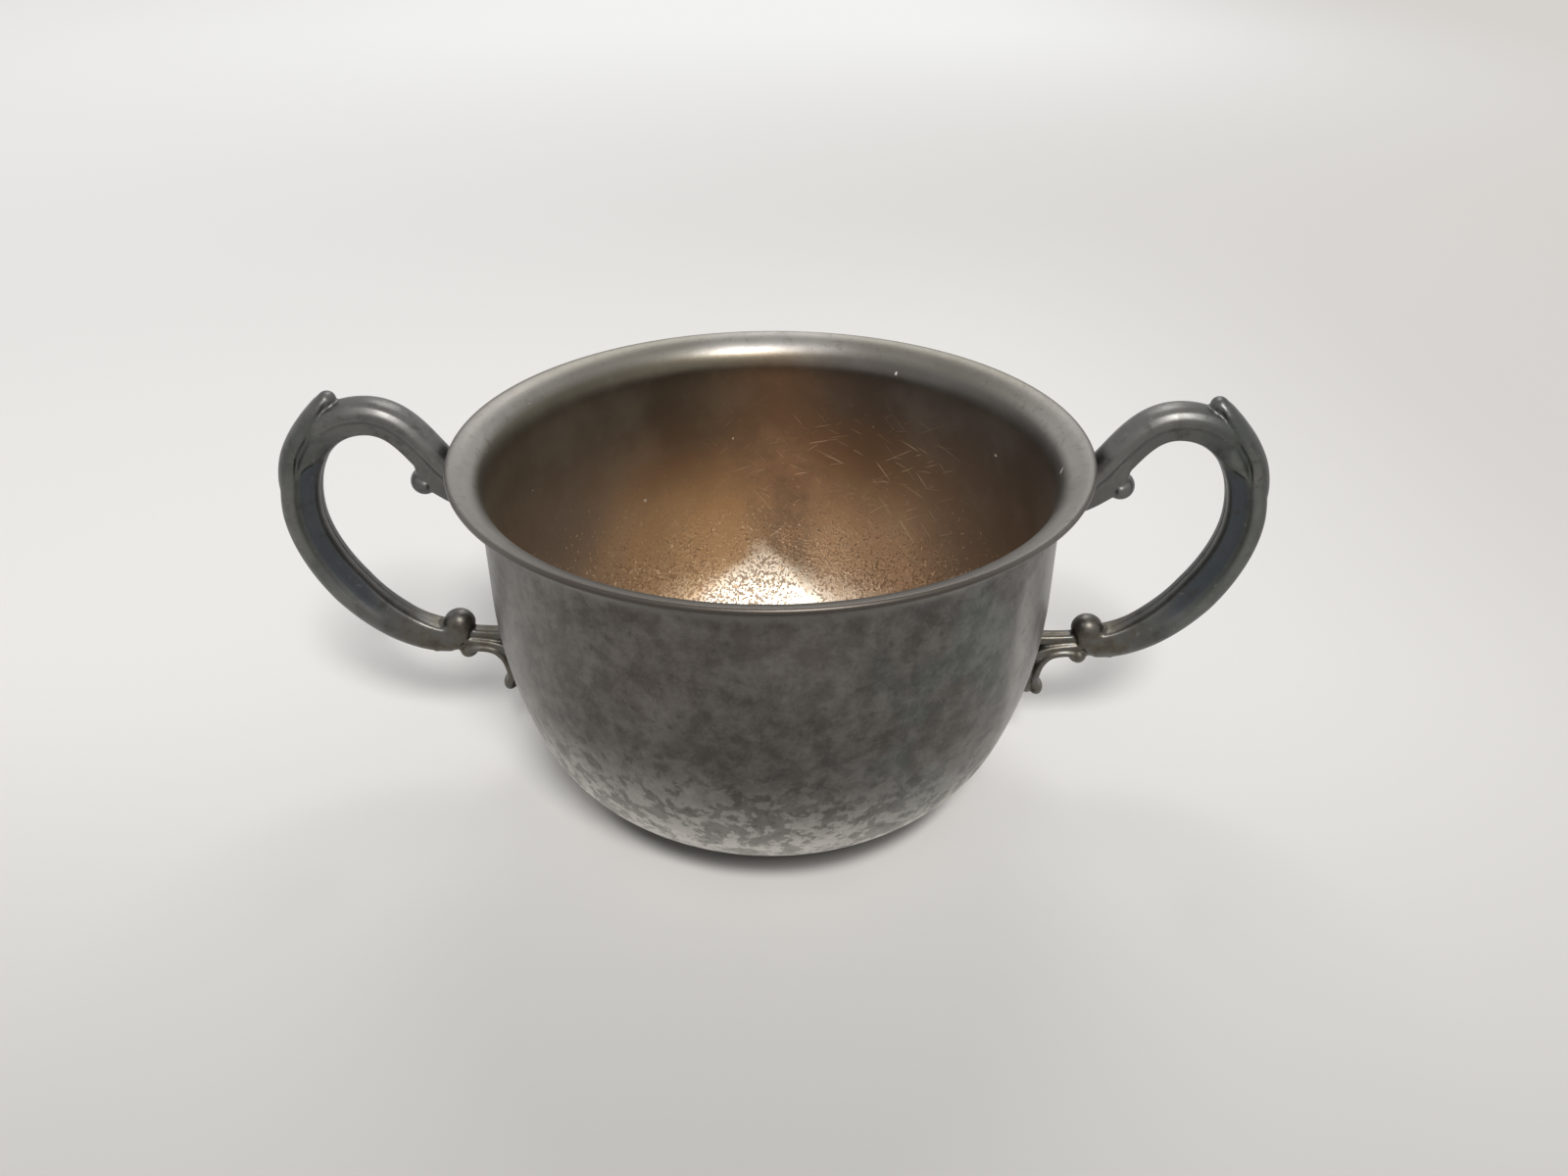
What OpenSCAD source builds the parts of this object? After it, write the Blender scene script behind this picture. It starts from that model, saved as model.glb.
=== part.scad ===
// Two-handled communion cup: a spun bowl with an everted lip, and two cast scroll handles.
// Each handle is two mirrored castings that meet on the mid-plane and are soldered to the bowl
// under the lip and on the belly.
// Frame: +Z up, origin on the table at the centre of the base, handles along X.

/* [Bowl] */
// Outer diameter over the lip
rim_d = 105; // [98:0.5:130]
// Height from the table to the top of the lip
bowl_h = 63.5; // [58:0.5:80]
// How far the lip stands out past the straight wall
lip_out = 4.8; // [2:0.1:6]
// Thickness of the spun sheet
wall_t = 1.1; // [0.6:0.1:2]
// Angle that the lip turns out through
lip_turn = 80; // [50:1:88]
// Radius of the long curve below the straight wall
belly_r = 74; // [55:1:90]
// Angle swept by the long curve
belly_turn = 20.4; // [10:0.2:30]
// Radius of the curve that turns under to the base
corner_r = 23.6; // [14:0.2:28]

/* [Base] */
// Width of the flat ring that the cup rests on
rest_w = 5; // [2:0.5:8]
// How far the middle of the base is pushed up
base_rise = 0.9; // [0.4:0.1:2]

/* [Handle path, measured out from the wall and up from the rim] */
// Height of the upper joint below the rim
root_drop = 10; // [9:0.5:14]
// Top of the arm, out from the wall
arm_out = 18.8; // [16:0.2:26]
// Top of the arm above the rim
arm_rise = 3.7; // [0:0.1:10]
// Outermost point of the loop, out from the wall
loop_out = 32.2; // [28:0.2:42]
// Outermost point of the loop, below the rim
loop_drop = 13.5; // [10:0.5:20]
// Inner end of the loop, out from the wall
end_out = 10.3; // [9:0.1:14]
// Inner end of the loop, below the rim
end_drop = 39.1; // [34:0.1:46]

/* [Handle section] */
// Depth of the arm in the plane of the handle
arm_d = 6.3; // [5:0.1:8]
// Depth of the loop at its outermost point
loop_d = 6.8; // [5:0.1:9]
// Depth of the loop where it is heaviest
flank_d = 7.5; // [5:0.1:9]
// Thickness of the loop across the handle
handle_t = 7; // [5:0.1:9]
// Diameter of the scroll under the arm
scroll_d = 4.6; // [3:0.1:6]
// Diameter of the knob over the lower bracket
knob_d = 4.8; // [3:0.1:6]
// How far the tip of the leaf stands proud of the shoulder
leaf_proud = 1.3; // [0.5:0.1:2]
// Thickness of the lower bracket across the handle
bracket_t = 5.4; // [4:0.1:7]
// Depth of the bracket's curved band
band_d = 3.6; // [2.5:0.1:5]
// Radius of the opening under the bracket
arch_r = 3.3; // [2:0.1:4]
// Drop from the loop's inner end to the tip of the toe
toe_drop = 12; // [9:0.5:15]

/* [Solder] */
// Thickness of the solder between a handle and the bowl
solder_t = 0.4; // [0.2:0.1:1]
// How far the solder runs out past the casting
solder_edge = 0.6; // [0.2:0.1:1.5]

/* [Hidden] */

fit_gap = 0.01;              // keeps the faceted castings clear of the round solder faces
disc_t = 0.02;               // thickness of the slices that the leaf is hulled from
path_steps = 12;             // rings along each curve of the handle
reach_in = 9;                // how far a casting runs in before the bowl's surface trims it
slice_step = 18;             // degrees between the points of a section's outline

rim_r = rim_d / 2;
wall_r = rim_r - lip_out;
edge_r = wall_t / 2;         // the lip ends in a half-round edge

// Bowl profile centres, in X and Z. Arcs are given by their outer surface.
lip_r = lip_out / (1 - cos(lip_turn)) - edge_r;
lip_c = [wall_r + lip_r, bowl_h - (lip_r + edge_r) * sin(lip_turn) - edge_r];
edge_c = lip_c + (lip_r + edge_r) * [-cos(lip_turn), sin(lip_turn)];
corner_c = [wall_r - belly_r + (belly_r - corner_r) * cos(belly_turn), corner_r];
belly_c = [wall_r - belly_r, corner_r + (belly_r - corner_r) * sin(belly_turn)];
rest_in = corner_c[0] - rest_w;

// Handle path: three curves through four knots, as points in X and Z.
root_p = [wall_r, bowl_h - root_drop];
arm_p = [wall_r + arm_out, bowl_h + arm_rise];
loop_p = [wall_r + loop_out, bowl_h - loop_drop];
end_p = [wall_r + end_out, bowl_h - end_drop];
curves = [
    [root_p, root_p + [0.5 * arm_out, 1.5], arm_p - [0.48 * arm_out, 0], arm_p],
    [arm_p, arm_p + [0.63 * (loop_p[0] - arm_p[0]), 0],
     loop_p + [0, 0.5 * (arm_p[1] - loop_p[1])], loop_p],
    [loop_p, loop_p - [0, 0.43 * (loop_p[1] - end_p[1])],
     end_p + [0.5 * (loop_p[0] - end_p[0]), 0], end_p]];

// Half depths and half thicknesses along the path, by curve number and fraction.
root_depth = arm_d * 0.57;
root_thick = handle_t * 0.46;
half_depth = [[0, root_depth], [0.35, arm_d / 2], [1, arm_d / 2], [1.5, arm_d / 2],
              [2, loop_d / 2], [2.5, flank_d / 2], [2.8, arm_d * 0.53], [3, arm_d * 0.47]];
half_thick = [[0, root_thick], [1, root_thick], [2, handle_t / 2],
              [2.6, handle_t / 2], [3, bracket_t / 2]];

// Features, placed from the path's knots.
scroll_c = root_p + [10.6, 2.6];
knob_c = end_p + [-1.7, 2.8];
waist_c = end_p + [-1.9, -0.4];
lobe_c = end_p + [-2.8, -2.4];
arch_c = end_p + [-5.8, -5.8];
toe_c = end_p + [-10.4, 1.6 - toe_drop];
leaf_tip = arm_p + [6, arm_d / 2 + leaf_proud - 1];

// Points along an arc; skip = 1 leaves out the first, where it joins what comes before.
function arc(c, r, a0, a1, n, skip = 0) = [for (i = [skip:n]) let (a = a0 + (a1 - a0) * i / n)
    c + r * [cos(a), sin(a)]];
function reversed(v) = [for (i = [len(v) - 1:-1:0]) v[i]];

function bezier(p, t) = pow(1 - t, 3) * p[0] + 3 * pow(1 - t, 2) * t * p[1]
    + 3 * (1 - t) * t * t * p[2] + pow(t, 3) * p[3];
function slope(p, t) = 3 * pow(1 - t, 2) * (p[1] - p[0]) + 6 * (1 - t) * t * (p[2] - p[1])
    + 3 * t * t * (p[3] - p[2]);

// The outer surface from the base up to the start of the lip, moved out by g.
function body_side(g) = concat(
    arc(corner_c, corner_r + g, -90, -belly_turn, 14),
    arc(belly_c, belly_r + g, -belly_turn, 0, 8), [[wall_r + g, lip_c[1]]]);
// The same surface with the underside of the lip, ending at the edge.
function outer_side(g) = concat(body_side(g), arc(lip_c, lip_r - g, 180, 180 - lip_turn, 14, 1));

module bowl_shell() {
    inner = concat(
        [[0, wall_t + base_rise], [rest_in - 2 * base_rise, wall_t + base_rise],
         [rest_in, wall_t]],
        body_side(-wall_t));
    lip_in = arc(lip_c, lip_r + wall_t, 180, 180 - lip_turn, 14, 1);
    edge = arc(edge_c, edge_r, -lip_turn, 157.5 - lip_turn, 7, 1);
    under = [[rest_in, 0], [rest_in - 2 * base_rise, base_rise], [0, base_rise]];
    color("dimgray") rotate_extrude($fn = 128)
        polygon(concat(outer_side(0), edge, reversed(concat(inner, lip_in)), reversed(under)));
}

// Everything inside the bowl's outer surface moved out by g, which trims the castings.
module bowl_envelope(g) {
    rotate_extrude($fn = 180)
        polygon(concat([[0, -g]], outer_side(g), [[rim_r, bowl_h + 1], [0, bowl_h + 1]]));
}

// A half slice across a casting at p, square to the direction dir in X and Z.
module slice(p, dir, w, t) {
    u = dir / norm(dir);
    multmatrix([[-u[1], 0, u[0], p[0]], [0, 1, 0, 0], [u[0], 0, u[1], p[1]], [0, 0, 0, 1]])
        linear_extrude(disc_t, center = true)
            polygon([for (a = [0:slice_step:180]) [w * cos(a), t * sin(a)]]);
}

module path_slice(s) {
    i = min(floor(s), len(curves) - 1);
    slice(bezier(curves[i], s - i), slope(curves[i], s - i),
          lookup(s, half_depth), lookup(s, half_thick));
}

// The outline of a slice as points in space, for the swept loop.
function ring(p, dir, w, t) = let (u = dir / norm(dir))
    [for (a = [0:slice_step:180]) [p[0] - u[1] * w * cos(a), t * sin(a), p[1] + u[0] * w * cos(a)]];
function path_ring(s) = let (i = min(floor(s), len(curves) - 1))
    ring(bezier(curves[i], s - i), slope(curves[i], s - i), lookup(s, half_depth), lookup(s, half_thick));

module sweep(rings) {
    n = len(rings[0]);
    m = len(rings);
    polyhedron([for (r = rings) each r], concat(
        [[for (j = [n - 1:-1:0]) j]],
        [for (i = [0:m - 2], j = [0:n - 1]) let (k = (j + 1) % n)
            each [[i * n + j, i * n + k, (i + 1) * n + k], [i * n + j, (i + 1) * n + k, (i + 1) * n + j]]],
        [[for (j = [0:n - 1]) (m - 1) * n + j]]));
}

// A boss of radius r standing t out from the mid-plane, with a rounded face.
module boss(c, r, t) {
    translate([c[0], 0, c[1]]) rotate([-90, 0, 0]) {
        cylinder(h = t * 0.7, r = r, $fn = 28);
        cylinder(h = t, r = r * 0.65, $fn = 28);
    }
}

module arm_and_loop() {
    sweep(concat(
        [ring(root_p - [reach_in, 0], curves[0][1] - curves[0][0], root_depth, root_thick)],
        [for (k = [0:path_steps * len(curves)]) path_ring(k / path_steps)]));
}

// The scroll under the arm, its neck up to the arm, and the web that runs in to the wall.
module scroll() {
    r = scroll_d / 2;
    hull() {
        boss(scroll_c, r, handle_t * 0.4);
        boss(scroll_c + [-1.2, 2.4], r, handle_t * 0.4);
    }
    hull() {
        boss(scroll_c + [-r, 0], r, handle_t * 0.36);
        boss(root_p + [-reach_in / 2, r - root_depth], r, handle_t * 0.36);
    }
}

// The leaf over the shoulder: a blunt tip that stands proud, and a back that runs into the loop.
module leaf() {
    back = leaf_tip + [4.4, -3.6];
    hull() {
        boss(leaf_tip, 1, handle_t * 0.25);
        path_slice(1.34);
        path_slice(1.46);
    }
    hull() {
        boss(leaf_tip, 1, handle_t * 0.25);
        boss(back, 1.2, handle_t * 0.36);
        path_slice(1.6);
    }
    hull() {
        boss(back, 1.2, handle_t * 0.36);
        path_slice(1.6);
        path_slice(1.8);
    }
}

module knob() {
    hull() {
        boss(knob_c, knob_d / 2, bracket_t / 2);
        boss(waist_c, knob_d * 0.46, bracket_t / 2);
    }
}

// The curved band from the outer lobe over the arch and down the bowl to the toe.
module bracket() {
    band_r = arch_r + band_d / 2;
    spine = concat([lobe_c], arc(arch_c, band_r, 60, 180, 6), [toe_c]);
    for (k = [0:len(spine) - 2]) hull() {
        boss(spine[k], band_d / 2, bracket_t / 2);
        boss(spine[k + 1], band_d / 2, bracket_t / 2);
    }
    hull() {
        boss(waist_c, band_d / 2, bracket_t / 2);
        boss(arch_c + [0, band_r], band_d / 2, bracket_t / 2);
    }
    // Backing that carries the band in to the bowl, all the way down to the toe.
    hull() {
        boss(arch_c + [-1, band_r], band_d / 2, bracket_t / 2);
        boss([wall_r - reach_in, arch_c[1] + band_r], band_d / 2, bracket_t / 2);
    }
    hull() {
        boss(arch_c + [-band_r, 0], band_d / 2, bracket_t / 2);
        boss(toe_c + [-0.4, 0], band_d / 2, bracket_t / 2);
        boss([wall_r - 2 * reach_in, toe_c[1]], band_d / 2, bracket_t / 2);
        boss([wall_r - reach_in, arch_c[1] + band_r], band_d / 2, bracket_t / 2);
    }
}

// The half of a right-hand handle that lies on the +Y side of its mid-plane.
module handle_half() {
    difference() {
        union() {
            arm_and_loop();
            scroll();
            leaf();
            knob();
            bracket();
        }
        bowl_envelope(solder_t + fit_gap);
    }
}

module right_handle_back() { color("slategray") handle_half(); }
module right_handle_front() { color("lightslategray") mirror([0, 1, 0]) handle_half(); }
module left_handle_back() { color("slategray") mirror([1, 0, 0]) handle_half(); }
module left_handle_front() { color("lightslategray") mirror([1, 0, 0]) mirror([0, 1, 0]) handle_half(); }

// A skin of solder on the bowl's outer surface, cut to a rounded patch from z0 to z1.
module solder(z0, z1, width) {
    w = width / 2 + solder_edge;
    intersection() {
        rotate_extrude($fn = 128)
            polygon(concat(body_side(solder_t), reversed(body_side(0))));
        translate([0, 0, (z0 + z1) / 2]) rotate([90, 0, 90]) linear_extrude(rim_r)
            rounded_patch(2 * w, z1 - z0, 1.5);
    }
}

module rounded_patch(w, h, r) {
    square([w, h - 2 * r], center = true);
    square([w - 2 * r, h], center = true);
    for (x = [-1, 1], y = [-1, 1])
        translate([x * (w / 2 - r), y * (h / 2 - r)]) circle(r = r, $fn = 32);
}

module upper_solder() {
    solder(root_p[1] - root_depth - solder_edge, min(root_p[1] + root_depth, lip_c[1]), 2 * root_thick);
}

module lower_solder() {
    solder(toe_c[1] - band_d / 2 - solder_edge,
           arch_c[1] + arch_r + band_d + solder_edge, bracket_t);
}

module right_upper_solder() { color("silver") upper_solder(); }
module right_lower_solder() { color("silver") lower_solder(); }
module left_upper_solder() { color("silver") mirror([1, 0, 0]) upper_solder(); }
module left_lower_solder() { color("silver") mirror([1, 0, 0]) lower_solder(); }

bowl_shell();
right_handle_front();
right_handle_back();
left_handle_front();
left_handle_back();
right_upper_solder();
right_lower_solder();
left_upper_solder();
left_lower_solder();
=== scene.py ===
import math

import bmesh
import bpy
import numpy as np
from mathutils import Matrix, Vector


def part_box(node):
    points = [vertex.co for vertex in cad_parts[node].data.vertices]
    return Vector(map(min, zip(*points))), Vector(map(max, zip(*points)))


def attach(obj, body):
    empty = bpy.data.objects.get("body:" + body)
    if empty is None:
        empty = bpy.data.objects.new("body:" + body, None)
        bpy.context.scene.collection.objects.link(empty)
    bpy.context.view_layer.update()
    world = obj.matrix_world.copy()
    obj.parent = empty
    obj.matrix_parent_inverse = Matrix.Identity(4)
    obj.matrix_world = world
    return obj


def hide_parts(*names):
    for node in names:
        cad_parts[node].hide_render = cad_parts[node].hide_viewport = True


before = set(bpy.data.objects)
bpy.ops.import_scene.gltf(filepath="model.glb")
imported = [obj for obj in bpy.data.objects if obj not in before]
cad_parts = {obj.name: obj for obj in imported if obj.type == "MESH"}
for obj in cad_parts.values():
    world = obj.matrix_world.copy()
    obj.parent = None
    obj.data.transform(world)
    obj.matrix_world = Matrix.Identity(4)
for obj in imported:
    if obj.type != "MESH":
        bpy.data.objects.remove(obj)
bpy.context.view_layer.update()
mm = 0.001
perMetre = 1000.0
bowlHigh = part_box("bowl_shell")[1]
rimR = bowlHigh[0] / mm        # everything below is worked out in millimetres
bowlH = bowlHigh[2] / mm

camera = {
    "lens": 28.125, "sensor": 36, "down": 31.4, "turn": 0.94,
    "place": (5.15, -184.5, 84.0),     # from the centre of the rim
    "near": 0.01, "far": 20,           # metres
}


def makeCamera():
    data = bpy.data.cameras.new("camera")
    data.lens = camera["lens"]
    data.sensor_width = camera["sensor"]
    data.clip_start = camera["near"]
    data.clip_end = camera["far"]
    obj = bpy.data.objects.new("camera", data)
    x, y, z = camera["place"]
    obj.location = (x * mm, y * mm, (z + bowlH) * mm)
    obj.rotation_euler = (math.radians(90 - camera["down"]), 0, math.radians(camera["turn"]))
    bpy.context.collection.objects.link(obj)
    bpy.context.scene.camera = obj


# An output socket that can be added to, multiplied and turned into a smooth step.
class Sock:
    def __init__(self, tree, socket):
        self.tree = tree
        self.socket = socket

    def maths(self, operation, *others, clamp=False):
        return addNode(self.tree, "ShaderNodeMath", {"operation": operation, "use_clamp": clamp},
                       (self,) + others)

    def __add__(self, other):
        return self.maths("ADD", other)

    def __radd__(self, other):
        return self.maths("ADD", other)

    def __sub__(self, other):
        return self.maths("SUBTRACT", other)

    def __rsub__(self, other):
        return addNode(self.tree, "ShaderNodeMath", {"operation": "SUBTRACT"}, (other, self))

    def __mul__(self, other):
        return self.maths("MULTIPLY", other)

    def __pow__(self, other):
        return self.maths("POWER", other)

    def clamped(self):
        return self.maths("ADD", 0.0, clamp=True)

    def step(self, low, high):
        # 0 below low, 1 above high, smooth between; low may be the larger, which turns it round
        return addNode(self.tree, "ShaderNodeMapRange", {"interpolation_type": "SMOOTHSTEP"},
                       {"Value": self, "From Min": low, "From Max": high})


def addNode(tree, kind, settings=None, values=None, out=0):
    node = tree.nodes.new(kind)
    for key, value in (settings or {}).items():
        setattr(node, key, value)
    pairs = values.items() if isinstance(values, dict) else enumerate(values or ())
    for key, value in pairs:
        socket = node.inputs[key]
        if isinstance(value, Sock):
            tree.links.new(value.socket, socket)
        elif isinstance(value, (tuple, list)) and len(value) == 3 and socket.type == "RGBA":
            socket.default_value = (*value, 1)
        else:
            socket.default_value = value
    return Sock(tree, node.outputs[out] if len(node.outputs) else None)


class Finish:
    def __init__(self, name):
        self.material = bpy.data.materials.new(name)
        self.material.use_nodes = True
        self.tree = self.material.node_tree
        self.tree.nodes.clear()
        self.coords = addNode(self.tree, "ShaderNodeTexCoord", out=3)

    def node(self, kind, settings=None, values=None, out=0):
        return addNode(self.tree, kind, settings, values, out)

    def axis(self, which):
        # in millimetres
        return self.node("ShaderNodeSeparateXYZ", None, (self.coords,), "XYZ".index(which)) * perMetre

    def mapped(self, vector, **values):
        return self.node("ShaderNodeMapping", None, {"Vector": vector, **values})

    def noise(self, size, detail, rough, stretch=None, distort=0.0, seed=0.0):
        # size is the width of a blotch in millimetres
        vector = self.mapped(self.coords, Scale=stretch) if stretch else self.coords
        return self.node("ShaderNodeTexNoise", {"noise_dimensions": "4D"},
                         {"Vector": vector, "W": seed, "Scale": perMetre / size, "Detail": detail,
                          "Roughness": rough, "Distortion": distort})

    def attribute(self, name):
        return self.node("ShaderNodeAttribute", {"attribute_name": name}, None, 2)

    def mix(self, factor, first, second):
        return self.node("ShaderNodeMix", {"data_type": "RGBA"}, {0: factor, 6: first, 7: second}, 2)

    def bump(self, height, strength, distance, normal=None):
        values = {"Height": height, "Strength": strength, "Distance": distance * mm}
        if normal:
            values["Normal"] = normal
        return self.node("ShaderNodeBump", None, values)

    def finish(self, values):
        shader = self.node("ShaderNodeBsdfPrincipled", None, values)
        self.node("ShaderNodeOutputMaterial", None, (shader,))
        return self.material


bowl = {
    "wallR": 47.7, "sheet": 1.1, "lipTurn": 80, "bellyR": 74, "bellyTurn": 20.4,
    "cornerR": 23.6, "restWidth": 5, "baseRise": 0.9, "steps": 288,
    "giltStart": 2.5,      # the gilding starts this far below the rim
    "giltFade": 1.4,       # and comes in over this height
    "edgePoints": 8, "lipPoints": 16, "bellyPoints": 14, "cornerPoints": 30, "wallPoints": 8,
}


def bezier(points, t):
    a, b, c, d = (np.array(p, float) for p in points)
    s = 1 - t
    return s ** 3 * a + 3 * s * s * t * b + 3 * s * t * t * c + t ** 3 * d


def arc(centre, radius, start, end, count, skip=0):
    points = []
    for i in range(skip, count + 1):
        angle = math.radians(start + (end - start) * i / count)
        points.append((centre[0] + radius * math.cos(angle), centre[1] + radius * math.sin(angle)))
    return points


def bowlCentres():
    b = bowl
    edgeR = b["sheet"] / 2
    turn = math.radians(b["lipTurn"])
    belly = math.radians(b["bellyTurn"])
    lipR = (rimR - b["wallR"]) / (1 - math.cos(turn)) - edgeR
    lipC = (b["wallR"] + lipR, bowlH - (lipR + edgeR) * math.sin(turn) - edgeR)
    edgeC = (lipC[0] - (lipR + edgeR) * math.cos(turn), lipC[1] + (lipR + edgeR) * math.sin(turn))
    cornerC = (b["wallR"] - b["bellyR"] + (b["bellyR"] - b["cornerR"]) * math.cos(belly), b["cornerR"])
    bellyC = (b["wallR"] - b["bellyR"], b["cornerR"] + (b["bellyR"] - b["cornerR"]) * math.sin(belly))
    return lipR, lipC, edgeC, cornerC, bellyC


def outerRadius(z):
    # outer radius of the body, below the lip, at height z
    cornerC, bellyC = bowlCentres()[3:]
    split = cornerC[1] - bowl["cornerR"] * math.sin(math.radians(bowl["bellyTurn"]))
    z = np.asarray(z, float)
    low = cornerC[0] + np.sqrt(np.maximum(bowl["cornerR"] ** 2 - (z - cornerC[1]) ** 2, 0))
    mid = bellyC[0] + np.sqrt(bowl["bellyR"] ** 2 - np.minimum(z - bellyC[1], 0) ** 2)
    return np.where(z < split, low, mid)


def makeBowl():
    b = bowl
    lipR, lipC, edgeC, cornerC, bellyC = bowlCentres()
    restIn = cornerC[0] - b["restWidth"]
    rise, sheet = b["baseRise"], b["sheet"]

    def side(out):
        wallTop = (b["wallR"] + out, lipC[1])
        wallFoot = (b["wallR"] + out, bellyC[1])
        count = b["wallPoints"]
        wall = [tuple(Vector(wallFoot).lerp(Vector(wallTop), (i + 1) / count)) for i in range(count)]
        return (arc(cornerC, b["cornerR"] + out, -90, -b["bellyTurn"], b["cornerPoints"])
                + arc(bellyC, b["bellyR"] + out, -b["bellyTurn"], 0, b["bellyPoints"], 1) + wall)

    # the base from its raised middle to the resting ring: place from the ring's inner edge, and height
    base = [(-restIn, rise), (-6, rise), (-2.2, rise * 0.85), (-1, rise * 0.35), (0, 0.04), (0.8, 0)]
    under = [(restIn + x, z) for x, z in base]
    outside = under + side(0) + arc(lipC, lipR, 180, 180 - b["lipTurn"], b["lipPoints"], 1)
    edge = arc(edgeC, sheet / 2, -b["lipTurn"], 180 - b["lipTurn"], b["edgePoints"], 1)
    inner = arc(lipC, lipR + sheet, 180 - b["lipTurn"], 180, b["lipPoints"], 1)
    inner += list(reversed(side(-sheet)))[1:] + [(x, sheet + z) for x, z in reversed(under)]
    firstGilt = len(outside) + len(edge) - 3      # the last points of the edge can be gilt

    bm = bmesh.new()
    gilt = bm.verts.layers.float.new("gilt")
    previous = None
    for i, (x, z) in enumerate(outside + edge + inner):
        vert = bm.verts.new((x * mm, 0, z * mm))
        if i >= firstGilt:
            depth = bowlH - z - b["giltStart"] + b["giltFade"] / 2
            vert[gilt] = min(max(depth / b["giltFade"], 0), 1)
        if previous:
            bm.edges.new((previous, vert))
        previous = vert
    bmesh.ops.spin(bm, geom=bm.verts[:] + bm.edges[:], cent=(0, 0, 0), axis=(0, 0, 1),
                   angle=math.tau, steps=b["steps"], use_merge=True)
    bmesh.ops.remove_doubles(bm, verts=bm.verts[:], dist=1e-6)
    bmesh.ops.recalc_face_normals(bm, faces=bm.faces[:])
    piece = toObject(bm, "bowl")
    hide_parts("bowl_shell")
    return piece


def toObject(bm, name):
    mesh = bpy.data.meshes.new(name)
    bm.to_mesh(mesh)
    bm.free()
    mesh.polygons.foreach_set("use_smooth", [True] * len(mesh.polygons))
    obj = bpy.data.objects.new(name, mesh)
    bpy.context.collection.objects.link(obj)
    return obj


handle = {
    "rootDrop": 10, "armOut": 18.8, "armRise": 3.7, "loopOut": 32.2, "loopDrop": 13.5,
    "endOut": 10.3, "endDrop": 39.1,
    "rings": 50, "around": 46,       # rings along each curve, and points round half a ring
    "voxel": 0.2, "smooth": 3,
    "inSheet": 0.5, "lipDepth": 6,   # how far a casting reaches into the sheet, and the lip's height
    "seam": 0.07,                    # depth of the line where the two halves meet
}


def handlePath():
    # in the plane of the right handle: its root, its end, and the three curves between them
    h = handle
    wallR = bowl["wallR"]
    root = np.array((wallR, bowlH - h["rootDrop"]))
    arm = np.array((wallR + h["armOut"], bowlH + h["armRise"]))
    loop = np.array((wallR + h["loopOut"], bowlH - h["loopDrop"]))
    end = np.array((wallR + h["endOut"], bowlH - h["endDrop"]))
    right, up = np.array((1, 0)), np.array((0, 1))
    return root, end, [
        (root, root + (0.5 * h["armOut"], 1.5), arm - right * 0.48 * h["armOut"], arm),
        (arm, arm + right * 0.63 * (loop[0] - arm[0]), loop + up * 0.5 * (arm[1] - loop[1]), loop),
        (loop, loop - up * 0.43 * (loop[1] - end[1]), end + right * 0.5 * (loop[0] - end[0]), end)]


# Half sections of the casting. Each is the half thickness at these places across its depth, from
# the outer back, 1, to the inner face, -1; a flat inner face has some thickness left at -1.
across = [1, 0.95, 0.8, 0.5, 0.2, 0.05, -0.1, -0.3, -0.5, -0.7, -0.87, -0.96, -1]
sections = {
    "root": [0, 0.42, 0.72, 0.95, 1, 1, 0.98, 0.94, 0.88, 0.76, 0.58, 0.32, 0],
    "arm": [0, 0.40, 0.72, 0.94, 1, 0.93, 0.80, 0.70, 0.65, 0.62, 0.54, 0.36, 0.12],
    "shoulder": [0, 0.36, 0.58, 0.66, 0.72, 0.82, 0.92, 0.96, 0.92, 0.78, 0.60, 0.38, 0.14],
    "loop": [0, 0.42, 0.72, 0.94, 0.99, 0.90, 0.74, 0.62, 0.58, 0.61, 0.60, 0.47, 0.30],
    "low": [0, 0.42, 0.74, 0.95, 0.99, 0.96, 0.92, 0.86, 0.80, 0.75, 0.70, 0.56, 0.36],
    "end": [0, 0.45, 0.78, 0.96, 1, 1, 0.98, 0.96, 0.94, 0.93, 0.90, 0.80, 0.62]}
# Along the path: station, half depth outwards and inwards, half thickness and section.
stations = [
    (0.00, 3.55, 3.55, 3.1, "root"), (0.35, 3.15, 3.15, 3.15, "arm"), (1.00, 3.15, 3.15, 3.2, "arm"),
    (1.30, 3.15, 3.15, 3.3, "arm"), (1.46, 3.0, 3.15, 3.4, "shoulder"), (1.70, 3.0, 3.2, 3.4, "shoulder"),
    (2.00, 3.4, 3.4, 3.4, "loop"), (2.45, 3.75, 3.7, 3.35, "loop"), (2.72, 3.5, 3.2, 3.0, "low"),
    (3.00, 3.0, 2.3, 2.55, "end")]


def smoothLine(points, count):
    # evenly spaced points on a smooth curve through the given ones
    p = np.array(points, float)
    t = np.concatenate([[0], np.cumsum(np.linalg.norm(np.diff(p, axis=0), axis=1))])
    want = np.linspace(0, t[-1], count)
    low = np.clip(np.searchsorted(t, want, side="right") - 1, 0, len(p) - 2)
    slopes = np.gradient(p, t, axis=0)
    span = (t[low + 1] - t[low])[:, None]
    f = ((want - t[low]) / span[:, 0])[:, None]
    return ((2 * f ** 3 - 3 * f ** 2 + 1) * p[low] + (f ** 3 - 2 * f ** 2 + f) * span * slopes[low]
            + (3 * f ** 2 - 2 * f ** 3) * p[low + 1] + (f ** 3 - f ** 2) * span * slopes[low + 1])


def smoothStep(low, high, value):
    f = np.clip((value - low) / (high - low), 0, 1)
    return f * f * (3 - 2 * f)


def closedRing(half):
    # half: (in plane, across) points from the outer back to the inner face, mirrored to a ring
    half = [tuple(p) for p in half]
    start = 1 if half[0][1] < 1e-6 else 0
    stop = len(half) - 1 if half[-1][1] < 1e-6 else len(half)
    return half + [(u, -v) for u, v in reversed(half[start:stop])]


def sectionRing(outline, depth, thick):
    return closedRing([(u * depth, v * thick) for u, v in outline])


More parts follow.
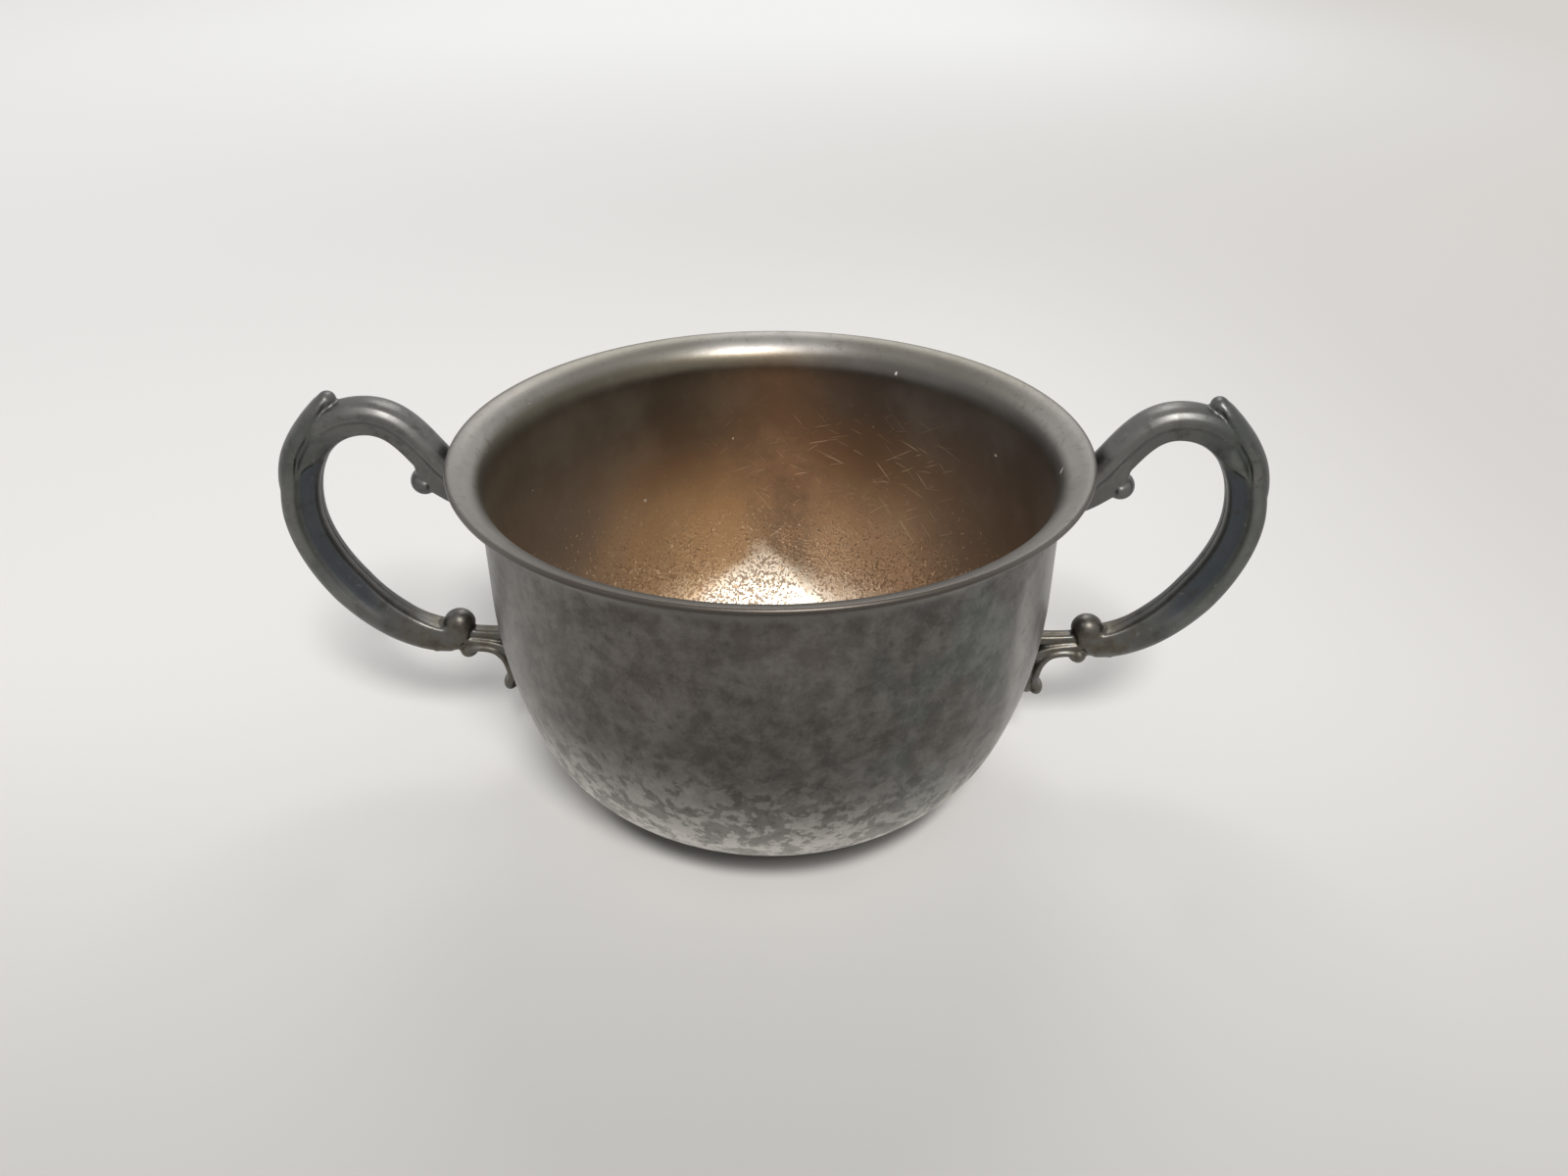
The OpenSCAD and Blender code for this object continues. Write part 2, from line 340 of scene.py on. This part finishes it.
def sweep(bm, places):
    # places: (centre x, centre z, direction x, direction z, ring of (in plane, across) points)
    ring = None
    for x, z, dx, dz, outline in places:
        size = math.hypot(dx, dz)
        points = [Vector((x - dz / size * u, v, z + dx / size * u)) * mm for u, v in outline]
        if ring is None:
            ring = [bm.verts.new(p) for p in points]
            first = [bm.edges.new((ring[i], ring[(i + 1) % len(ring)])) for i in range(len(ring))]
            edges = first
            continue
        grown = bmesh.ops.extrude_edge_only(bm, edges=edges)["geom"]
        old = set(ring)
        edges = [g for g in grown if isinstance(g, bmesh.types.BMEdge) and not old.intersection(g.verts)]
        fresh = {}
        for face in (g for g in grown if isinstance(g, bmesh.types.BMFace)):
            for edge in face.edges:
                near = [v for v in edge.verts if v in old]
                if len(near) == 1:
                    fresh[near[0]] = edge.other_vert(near[0])
        ring = [fresh[v] for v in ring]
        for vert, place in zip(ring, points):
            vert.co = place
    bmesh.ops.holes_fill(bm, edges=first)
    bmesh.ops.holes_fill(bm, edges=edges)


def loopPlaces():
    curves = handlePath()[2]
    turn = np.linspace(0, np.pi, handle["around"])
    u = np.cos(turn)
    profile = {name: np.interp(-u, [-a for a in across], v) for name, v in sections.items()}
    for name, v in profile.items():
        soft = np.convolve(np.pad(v, 1, mode="edge"), [0.25, 0.5, 0.25], "valid")
        soft[0] = v[0]
        profile[name] = soft
    # the flute starts as an arch under the lobe of the leaf, first on its inner side
    archStart = np.interp(-u, [-1, -0.35, -0.2, -0.05, 0.1, 0.3, 0.5, 0.8, 1],
                          [1.48, 1.5, 1.6, 1.69, 1.64, 1.59, 1.55, 1.5, 1.48])
    archLength = 0.09
    keys = [s[0] for s in stations]
    places = []
    total = handle["rings"] * 3
    for k in range(total + 1):
        s = 3 * k / total
        i = min(int(s), 2)
        here = bezier(curves[i], s - i)
        ahead = bezier(curves[i], s - i + 0.001) - bezier(curves[i], s - i - 0.001)
        out, inward, thick = (np.interp(s, keys, [r[n] for r in stations]) for n in (1, 2, 3))
        j = min(max(n for n, key in enumerate(keys) if key <= s), len(keys) - 2)
        first, second = profile[stations[j][4]], profile[stations[j + 1][4]]
        v = first + (second - first) * smoothStep(keys[j], keys[j + 1], s)
        if 1.46 <= s < 2:
            v = profile["shoulder"] + (profile["loop"] - profile["shoulder"]) * smoothStep(
                archStart, archStart + archLength, s)
        half = [(a * (out if a > 0 else inward), b * thick) for a, b in zip(u, v)]
        places.append((*here, *ahead, closedRing(half)))
    # one more ring at the root, inside the wall
    x, z, dx, dz, ring = places[0]
    places.insert(0, (x - 1.5, z - 0.25, dx, dz, ring))
    return places


# The cap of the leaf: round on top, with a crisp lower edge that stands over the flank.
capSection = [(1, 0), (0.92, 0.46), (0.66, 0.82), (0.34, 0.98), (0.22, 1.0), (0.12, 0.94), (0.0, 0.8),
              (-0.4, 0.7), (-1, 0.6), (-1, 0)]


def leafPlaces():
    # the leaf's spine from its tip down the shoulder: x from the wall, z from the rim, half depth
    # and half thickness
    spine = np.array([(23.7, 6.9, 0.75, 0.9), (24.0, 6.6, 1.5, 1.8), (24.8, 5.5, 2.1, 2.5),
                      (26.0, 3.5, 2.75, 2.95), (27.4, 1.4, 3.1, 3.2), (29.1, -0.9, 3.2, 3.3),
                      (30.9, -4.2, 3.25, 3.3), (31.9, -7.8, 3.2, 3.15), (32.1, -11.5, 3.1, 2.6)])
    line = smoothLine(spine, 48)
    ahead = np.gradient(line, axis=0)
    outline = smoothLine(capSection, 34)
    wallR = bowl["wallR"]
    return [(wallR + p[0], bowlH + p[1], *d[:2], sectionRing(outline, p[2], p[3]))
            for p, d in zip(line, ahead)]


def ball(bm, centre, radii, aside=0.0):
    move = Matrix.Translation(Vector((centre[0], aside, centre[1])) * mm)
    bmesh.ops.create_icosphere(bm, subdivisions=4, radius=mm, matrix=move @ Matrix.Diagonal((*radii, 1)))


def roundBar(points):
    # points: x, z, half depth, half thickness; swept with a rounded-box section
    line = smoothLine(points, 12 * (len(points) - 1))
    ahead = np.gradient(line, axis=0)
    outline = smoothLine([(1, 0), (0.96, 0.55), (0.75, 0.88), (0.3, 1), (-0.3, 1), (-0.75, 0.88),
                          (-0.96, 0.55), (-1, 0)], 22)
    return [(p[0], p[1], *d[:2], sectionRing(outline, p[2], p[3])) for p, d in zip(line, ahead)]


def makeHandleShape():
    root, end = handlePath()[:2]
    bm = bmesh.new()

    def bar(start, points):
        sweep(bm, roundBar([(start[0] + x, start[1] + z, depth, thick) for x, z, depth, thick in points]))

    sweep(bm, loopPlaces())
    sweep(bm, leafPlaces())
    # the scroll under the arm: a disc with an eye, its neck and the web that runs in to the wall
    scroll = root + (10.7, 2.1)
    ball(bm, scroll - (0.1, 0.05), (2.35, 2.6, 2.35))
    for side in (1, -1):
        ball(bm, scroll - (0.5, 0.1), (0.85, 0.5, 0.85), side * 2.3)
    bar(scroll, [(-0.9, -0.6, 1.6, 2.3), (-0.8, 2, 1.6, 2.3), (-0.6, 5, 1.9, 2.4)])
    bar(root, [(-2, -1.6, 2.8, 2.3), (4.4, 0.4, 2.8, 2.3), (9.2, 3.0, 2.3, 2.3)])
    # the end of the loop curls up into the knob
    bar(end, [(3.4, -0.3, 2.7, 2.4), (0.6, 0.2, 2.7, 2.4), (-1.2, 1.3, 2.6, 2.35), (-1.6, 2.8, 2.4, 2.2)])
    ball(bm, end + (-1.65, 2.8), (2.8, 2.6, 2.5))
    ball(bm, end + (1.2, 1.4), (2.2, 2.3, 1.6))
    ball(bm, end + (-0.2, -0.45), (2.5, 2.45, 2.5))
    ball(bm, root + (24.5, 16.4), (1.5, 1.9, 1.5))      # the blunt tip of the leaf
    # the bracket: the stub, the step below it, and the thin band that curls over the arch
    bar(end, [(-2.6, 0.9, 0.9, 1.4), (-6.5, 0.55, 1.0, 1.4), (-12, 0.5, 1.1, 1.6)])
    bar(end, [(-2.6, -0.6, 0.9, 2.0), (-5, -0.75, 0.9, 2.05), (-8, -1.3, 0.95, 2.1), (-12, -3.5, 1.4, 2.2)])
    bar(end, [(-2.5, -2.6, 0.9, 2.5), (-3.9, -1.8, 0.75, 2.55), (-5.8, -1.7, 0.75, 2.55),
              (-7.9, -2.3, 0.75, 2.55), (-9.3, -3.9, 0.8, 2.5), (-10, -6.2, 0.85, 2.4),
              (-10.1, -8.4, 0.9, 2.3), (-9.5, -9.8, 0.9, 2.3)])
    ball(bm, end + (-2.8, -2.5), (1.75, 2.7, 1.7))
    bar(end, [(-12.2, -1.5, 1.8, 2.3), (-12.7, -6, 2.2, 2.2), (-13.2, -10.2, 2.9, 2.0)])
    ball(bm, end + (-9.6, -9.9), (1.35, 2.5, 1.35))
    bmesh.ops.recalc_face_normals(bm, faces=bm.faces[:])
    return toObject(bm, "casting")


def evaluated(obj):
    graph = bpy.context.evaluated_depsgraph_get()
    return bpy.data.meshes.new_from_object(obj.evaluated_get(graph))


def makeHandles():
    rough = makeHandleShape()
    remesh = rough.modifiers.new("remesh", "REMESH")
    remesh.mode = "VOXEL"
    remesh.voxel_size = handle["voxel"] * mm
    mesh = evaluated(rough)
    bpy.data.objects.remove(rough)
    bm = bmesh.new()
    bm.from_mesh(mesh)
    bpy.data.meshes.remove(mesh)
    for _ in range(handle["smooth"]):
        bmesh.ops.smooth_vert(bm, verts=bm.verts[:], factor=0.5, use_axis_x=True, use_axis_y=True,
                              use_axis_z=True)
    # nothing reaches through the sheet: what lies deeper in it is drawn out to this depth
    lowest = 0.5
    for vert in bm.verts:
        x, y, z = vert.co / mm
        reach = float(outerRadius(max(z, lowest))) - handle["inSheet"]
        r = math.hypot(x, y)
        if 0 < z < bowlH - handle["lipDepth"] and r < reach:
            vert.co = Vector((x * reach / r, y * reach / r, z)) * mm
    bmesh.ops.bisect_plane(bm, geom=bm.verts[:] + bm.edges[:] + bm.faces[:], dist=1e-7,
                           plane_co=(0, 0, 0), plane_no=(0, 1, 0), clear_outer=True)
    # the open edges where the shape was cut at the mid-plane are drawn in, and the cut is closed
    seam = [e for e in bm.edges if len(e.link_faces) == 1]
    seamVerts = {v for e in seam for v in e.verts}
    for vert in seamVerts:
        vert.co -= vert.normal * handle["seam"] * mm
        vert.co.y = 0
    bmesh.ops.triangle_fill(bm, use_beauty=False, edges=seam, normal=(0, 1, 0))
    bmesh.ops.recalc_face_normals(bm, faces=bm.faces[:])
    pieces = []
    for name, flipX, flipY in (("right_handle_front", 1, 1), ("right_handle_back", 1, -1),
                               ("left_handle_front", -1, 1), ("left_handle_back", -1, -1)):
        half = bm.copy()
        bmesh.ops.scale(half, vec=(flipX, flipY, 1), verts=half.verts[:])
        if flipX * flipY < 0:
            bmesh.ops.reverse_faces(half, faces=half.faces[:])
        piece = toObject(half, name + "_casting")
        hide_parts(name)
        pieces.append(piece)
    bm.free()
    return pieces


# In the finishes x, y and z are millimetres from the middle of the base, and colours are linear.
def plateFinish():
    f = Finish("plate")
    gilt = f.attribute("gilt")
    x, y, z = f.axis("X"), f.axis("Y"), f.axis("Z")
    side = x.maths("ABSOLUTE")
    wide = f.noise(40, 3, 0.5, seed=1.0)
    cloud = f.noise(13, 4, 0.6, seed=2.0)
    radius = (x * x + y * y) ** 0.5
    patch = f.noise(2.9, 4, 0.6, distort=0.3, seed=3.0)
    grain = f.noise(1.5, 4, 0.65, seed=4.0)
    fine = f.noise(0.55, 3, 0.6, seed=8.0)

    # outside: dark tarnish with a pale bloom in crisp-edged patches, strongest towards the base, where a
    # smooth painted reflection of the floor also pales the colour
    outside = f.mix(wide.step(0.35, 0.65), (0.104, 0.091, 0.083), (0.08, 0.0745, 0.069))
    # painted reflection: a teal-dark zone and pale bands at the sides, the surroundings mirrored in the
    # wall
    teal = x.step(8, 24) * x.step(40, 34) * cloud.step(0.42, 0.6)
    outside = f.mix(teal * 0.55, outside, (0.06, 0.083, 0.077))
    rubbedAndSheen = (x.step(36.5, 39) * 0.9 + x.step(-33, -44) * 0.6) * cloud.step(0.25, 0.55)
    outside = f.mix(rubbedAndSheen, outside, (0.25, 0.242, 0.233))
    # the low * low term below is a painted reflection of the floor that pales the base; the crisp patches
    # are the tarnish's own
    low = (z + cloud * 10 - 5 + x * 0.08).step(34, 3)
    edge = patch.step(0.45, 0.53)
    mottle = f.noise(4, 5, 0.7, seed=5.0).step(0.38, 0.66)
    bloomAndSheen = edge * (low * 0.6 + 0.02) + low * low * 0.62 + mottle * 0.11 + cloud.step(0.4, 0.7) * 0.05
    outside = f.mix(bloomAndSheen.clamped(), outside, (0.66, 0.635, 0.6))
    outside = f.mix(grain.step(0.5, 0.72) * (low * 0.35 + 0.3), outside, (0.05, 0.046, 0.043))
    outside = f.mix(fine.step(0.62, 0.72) * 0.25, outside, (0.3, 0.29, 0.28))
    # the lip is rubbed to a paler grey, olive at the back and dark brown in front; its paling inwards is a
    # painted reflection
    lip = z.step(bowlH - 5.5, bowlH - 3.5)
    # painted reflection: palest inwards, where the lip turns up to the light
    lipTone = f.mix(radius.step(51.5, 48.3), (0.2, 0.19, 0.178), (0.35, 0.334, 0.315))
    lipTone = f.mix(cloud.step(0.45, 0.65) * 0.45, lipTone, (0.2, 0.19, 0.175))
    lipTone = f.mix(y.step(5, 36) * side.step(6, 20) * 0.65, lipTone, (0.14, 0.132, 0.105))
    lipTone = f.mix(grain.step(0.52, 0.7) * 0.5, lipTone, (0.15, 0.13, 0.11))
    lipTone = f.mix(radius.step(51.4, 52.2) * 0.3 + y.step(-30, -47) * 0.62, lipTone, (0.09, 0.078, 0.068))
    outside = f.mix(lip, outside, lipTone)

    # inside: a gold wash, worn coppery on the back and the bottom and brown with age at the sides; a
    # painted highlight of the lamp streaks up the back
    gold = f.mix(wide.step(0.4, 0.6), (0.4, 0.26, 0.17), (0.35, 0.26, 0.18))
    # painted highlight: a coppery streak up the back where the lamp's glare is drawn out
    glareColumn = (side + cloud * 16 - 8).step(19, 2) * y.step(10, 30) * z.step(52, 36)
    gold = f.mix(glareColumn * mottle * 0.45, gold, (0.7, 0.43, 0.27))
    warm = x.step(2, -14) * x.step(-44, -30) * z.step(46, 26)
    gold = f.mix(warm * 0.8, gold, (0.84, 0.56, 0.3))
    rubbedGold = (x + cloud * 12 - 6).step(3, 14) * (x + cloud * 12 - 6).step(40, 26) * z.step(42, 22)
    gold = f.mix(rubbedGold * 0.75, gold, (0.86, 0.6, 0.39))
    # painted shade: a dark band just under the lip, olive-brown in the middle and darkest at the sides
    shadeUnderLip = z.step(bowlH - 9, bowlH - 2.6)
    aged = (side + cloud * 14 - 7).step(18, 42)
    gold = f.mix(aged * 0.85, gold, (0.15, 0.128, 0.108))
    shade = z.step(bowlH - 20, bowlH - 7) * side.step(12, 36)
    gold = f.mix(shade * 0.75, gold, (0.06, 0.052, 0.045))
    gold = f.mix(shadeUnderLip * 0.92, gold, f.mix(side.step(4, 30), (0.12, 0.1, 0.068), (0.045, 0.038, 0.03)))
    top = (z + cloud * 18 - 9).step(34, 54) * (side + cloud * 10 - 5).step(-4, 15)
    gold = f.mix(top * 0.75, gold, f.mix(x.step(-6, 14), (0.21, 0.195, 0.15), (0.215, 0.21, 0.205)))
    gold = f.mix(z.step(20, 46) * (1 - cloud.step(0.4, 0.62) * 0.5) * 0.45, gold, (0.07, 0.054, 0.042))
    deep = (z + y.maths("ABSOLUTE") * 0.12).step(24, 7)
    pale = f.mix(grain.step(0.35, 0.6), (0.9, 0.72, 0.52), (1, 0.93, 0.8))
    gold = f.mix(deep * side.step(34, 6) * 0.9, gold, pale)
    # the most worn place at the back of the bottom, mostly a painted highlight of the lamp's glare, comes
    # up to a ragged point
    wornAndGlare = ((20 - z) * 1.4 - (x + 3).maths("ABSOLUTE") + cloud * 14 + grain * 8 - 11.5).step(-3, 4)
    wornAndGlare = wornAndGlare * y.step(24, 34)
    gold = f.mix(wornAndGlare * 0.85, gold, (1, 0.93, 0.8))
    # pits in the wash, thick where it is worn, and lines and specks left by use
    pits = f.noise(0.46, 2, 0.55, seed=6.0)
    worn = z.step(34, 12) * cloud.step(0.3, 0.52)
    pitted = (pits + worn * 0.13).step(0.6, 0.66) * z.step(40, 20)
    gold = f.mix(pitted * 0.75, gold, (0.2, 0.115, 0.065))
    bright = (f.noise(0.7, 2, 0.5, seed=7.0) + worn * 0.06).step(0.64, 0.7) * z.step(44, 18)
    gold = f.mix(bright * 0.6, gold, (0.95, 0.75, 0.52))
    lines = None
    for angle, seed in ((14, 31.0), (-22, 32.0), (38, 33.0), (-50, 34.0)):
        turned = f.mapped(f.coords, Rotation=(0, math.radians(angle), 0))
        drawn = f.mapped(turned, Scale=(0.6, 0.2, 20))
        streak = f.node("ShaderNodeTexNoise", {"noise_dimensions": "4D"},
                        {"Vector": drawn, "W": seed, "Scale": 190.0, "Detail": 1.0, "Distortion": 0.4})
        line = streak.step(0.715, 0.735)
        lines = line if lines is None else lines + line
    lines = (lines * x.step(-22, 4) * x.step(40, 26) * z.step(54, 44)).clamped()
    gold = f.mix(lines * 0.6, gold, (0.95, 0.8, 0.62))
    specks = f.noise(1.6, 0, 0.5, seed=41.0).step(0.83, 0.86)
    gold = f.mix(specks * 0.8, gold, (1, 0.95, 0.88))

    colour = f.mix(gilt, outside, gold)
    metal = 1 - gilt * (aged * 0.2 + 0.12) * (1 - shadeUnderLip)
    roughness = f.mix(gilt, (0.34 + bloomAndSheen * 0.16 + grain * 0.08),
                      (0.3 + cloud * 0.12 + aged * 0.1 + pitted * 0.15 + wornAndGlare * 0.16))
    spun = f.noise(0.5, 2, 0.5, stretch=(0.02, 0.02, 1.0), seed=9.0)
    normal = f.bump(fine + spun * 1.4, 0.3, 0.02)
    normal = f.bump(pitted * gilt, 0.5, -0.05, normal)
    normal = f.bump(patch + grain * 0.5, 0.25, 0.12, normal)
    return f.finish({"Base Color": colour, "Metallic": metal, "Roughness": roughness, "Normal": normal})


def castingFinish():
    f = Finish("casting")
    x, y, z = f.axis("X"), f.axis("Y"), f.axis("Z")
    out, face = x.maths("ABSOLUTE"), y.maths("ABSOLUTE")
    clouds = f.noise(11, 4, 0.55, seed=11.0)
    grime = f.noise(2.6, 5, 0.65, seed=12.0)
    grain = f.noise(0.9, 4, 0.6, seed=13.0)
    colour = f.mix(clouds.step(0.35, 0.65), (0.115, 0.115, 0.112), (0.16, 0.158, 0.152))
    colour = f.mix(x.step(60, 70) * 0.35, colour, (0.075, 0.085, 0.08))
    arm = out.step(73, 67) * z.step(bowlH - 14, bowlH - 7)
    colour = f.mix(arm * 0.15, colour, (0.27, 0.255, 0.24))
    # darker and bluer in the flute of the loop, greener on its back
    faceNormal = f.node("ShaderNodeTexCoord", out=1)
    facing = f.node("ShaderNodeSeparateXYZ", None, (faceNormal,), 1).maths("ABSOLUTE")
    flute = face.step(2.75, 2.3) * facing.step(0.55, 0.9) * out.step(67, 72) * z.step(bowlH + 2, bowlH - 4)
    colour = f.mix(flute * 0.75, colour, (0.052, 0.062, 0.076))
    back = face.step(2.3, 2.9) * out.step(70, 76)
    colour = f.mix(back * 0.5, colour, (0.1, 0.112, 0.1))
    # proud edges are rubbed, and brown dirt stays round the knob and the bracket
    rubbedAndSheen = face.step(2.9, 3.35) * clouds.step(0.3, 0.6)
    colour = f.mix(rubbedAndSheen * 0.5, colour, (0.24, 0.235, 0.225))
    foot = z.step(bowlH - 31, bowlH - 37) * out.step(70, 62)
    colour = f.mix(foot * grime.step(0.35, 0.6) * 0.8, colour, (0.115, 0.1, 0.076))
    colour = f.mix(grime.step(0.52, 0.68) * 0.5, colour, (0.06, 0.055, 0.048))
    colour = f.mix(grain.step(0.6, 0.72) * 0.3, colour, (0.3, 0.3, 0.29))
    roughness = 0.3 + clouds * 0.1 + grime * 0.1
    normal = f.bump(grain, 0.3, 0.03)
    normal = f.bump(grime, 0.2, 0.1, normal)
    return f.finish({"Base Color": colour, "Metallic": 1.0, "Roughness": roughness, "Normal": normal})


def solderFinish():
    f = Finish("solder")
    grain = f.noise(1.5, 4, 0.6, seed=21.0)
    colour = f.mix(grain.step(0.35, 0.65), (0.1, 0.1, 0.095), (0.17, 0.165, 0.15))
    normal = f.bump(grain, 0.4, 0.08)
    return f.finish({"Base Color": colour, "Metallic": 1.0, "Roughness": 0.5, "Normal": normal})


stage = {
    "reach": 4,                               # half the floor's width, in metres
    "contactIn": 32.5, "contactOut": 36.5,    # radii of the soft edge of the painted contact shadow, a darker disc under the bowl
    "sky": 0.4, "skySeen": 0.35,              # the world's strength, and what is added where it is seen
    "aim": (0, 0, 0.03),
}
# Round lamps: place in metres, width, power in watts and colour.
lamps = [("key", (0.42, -1.6, 2.1), 0.8, 51, (1, 0.985, 0.965)),
         ("back", (0.05, 0.8, 0.95), 0.6, 3.2, (1, 0.99, 0.98))]


def seenRays(tree):
    # 1 for what the camera or a reflection sees, 0 for what lights the object
    direct = addNode(tree, "ShaderNodeLightPath")
    return (direct + addNode(tree, "ShaderNodeLightPath", out="Is Glossy Ray")).clamped()


def makeStage():
    bm = bmesh.new()
    bmesh.ops.create_grid(bm, x_segments=1, y_segments=1, size=stage["reach"])
    floor = toObject(bm, "floor")
    f = Finish("floor")
    x, y = f.axis("X"), f.axis("Y")
    shade = f.mix(y.step(-170, 40), (0.455, 0.449, 0.432), (0.78, 0.775, 0.765))
    shade = f.mix(x.step(40, 230) * 0.7, shade, (0.54, 0.53, 0.512))
    # painted contact shadow on the floor under the bowl
    contactShadow = ((x * x + y * y) ** 0.5).step(stage["contactOut"], stage["contactIn"])
    shade = f.mix(contactShadow * 0.8, shade, (0.14, 0.135, 0.13))
    near = f.node("ShaderNodeBsdfPrincipled", None, {"Base Color": shade, "Roughness": 0.9,
                                                     "Specular IOR Level": 0.2})
    far = f.mix(x.step(-450, 500), (0.8, 0.79, 0.775), (0.67, 0.65, 0.62))
    far = f.mix(y.step(350, 1100) * x.step(700, 100) * x.step(-900, -200), far, (0.89, 0.89, 0.885))
    glow = f.node("ShaderNodeBsdfPrincipled", None, {"Base Color": (0, 0, 0), "Specular IOR Level": 0.0,
                                                     "Emission Color": far, "Emission Strength": 1.0})
    seen = seenRays(f.tree) * y.step(70, 420)
    both = f.node("ShaderNodeMixShader", None, (seen, near, glow))
    f.node("ShaderNodeOutputMaterial", None, (both,))
    floor.data.materials.append(f.material)
    world = bpy.data.worlds.new("world")
    bpy.context.scene.world = world
    world.use_nodes = True
    tree = world.node_tree
    background = tree.nodes["Background"]
    background.inputs["Color"].default_value = (1, 0.99, 0.975, 1)
    strength = seenRays(tree) * stage["skySeen"] + stage["sky"]
    tree.links.new(strength.socket, background.inputs["Strength"])
    for name, place, size, power, colour in lamps:
        lamp = bpy.data.lights.new(name, "AREA")
        lamp.shape = "DISK"
        lamp.size = size
        lamp.energy = power
        lamp.color = colour
        obj = bpy.data.objects.new(name, lamp)
        obj.location = place
        aim = Vector(stage["aim"]) - Vector(place)
        obj.rotation_euler = aim.to_track_quat("-Z", "Y").to_euler()
        bpy.context.collection.objects.link(obj)
    bpy.context.scene.view_settings.view_transform = "Standard"


print("camera and stage")
makeCamera()
makeStage()
print("bowl")
bowlPiece = makeBowl()
bowlPiece.data.materials.append(plateFinish())
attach(bowlPiece, "root")
print("handles")
casting = castingFinish()
for piece in makeHandles():
    piece.data.materials.append(casting)
    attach(piece, "root")
print("solder")
solder = solderFinish()
for name in ("right_upper_solder", "right_lower_solder", "left_upper_solder", "left_lower_solder"):
    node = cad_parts[name]
    for slot in node.material_slots:
        slot.material = solder
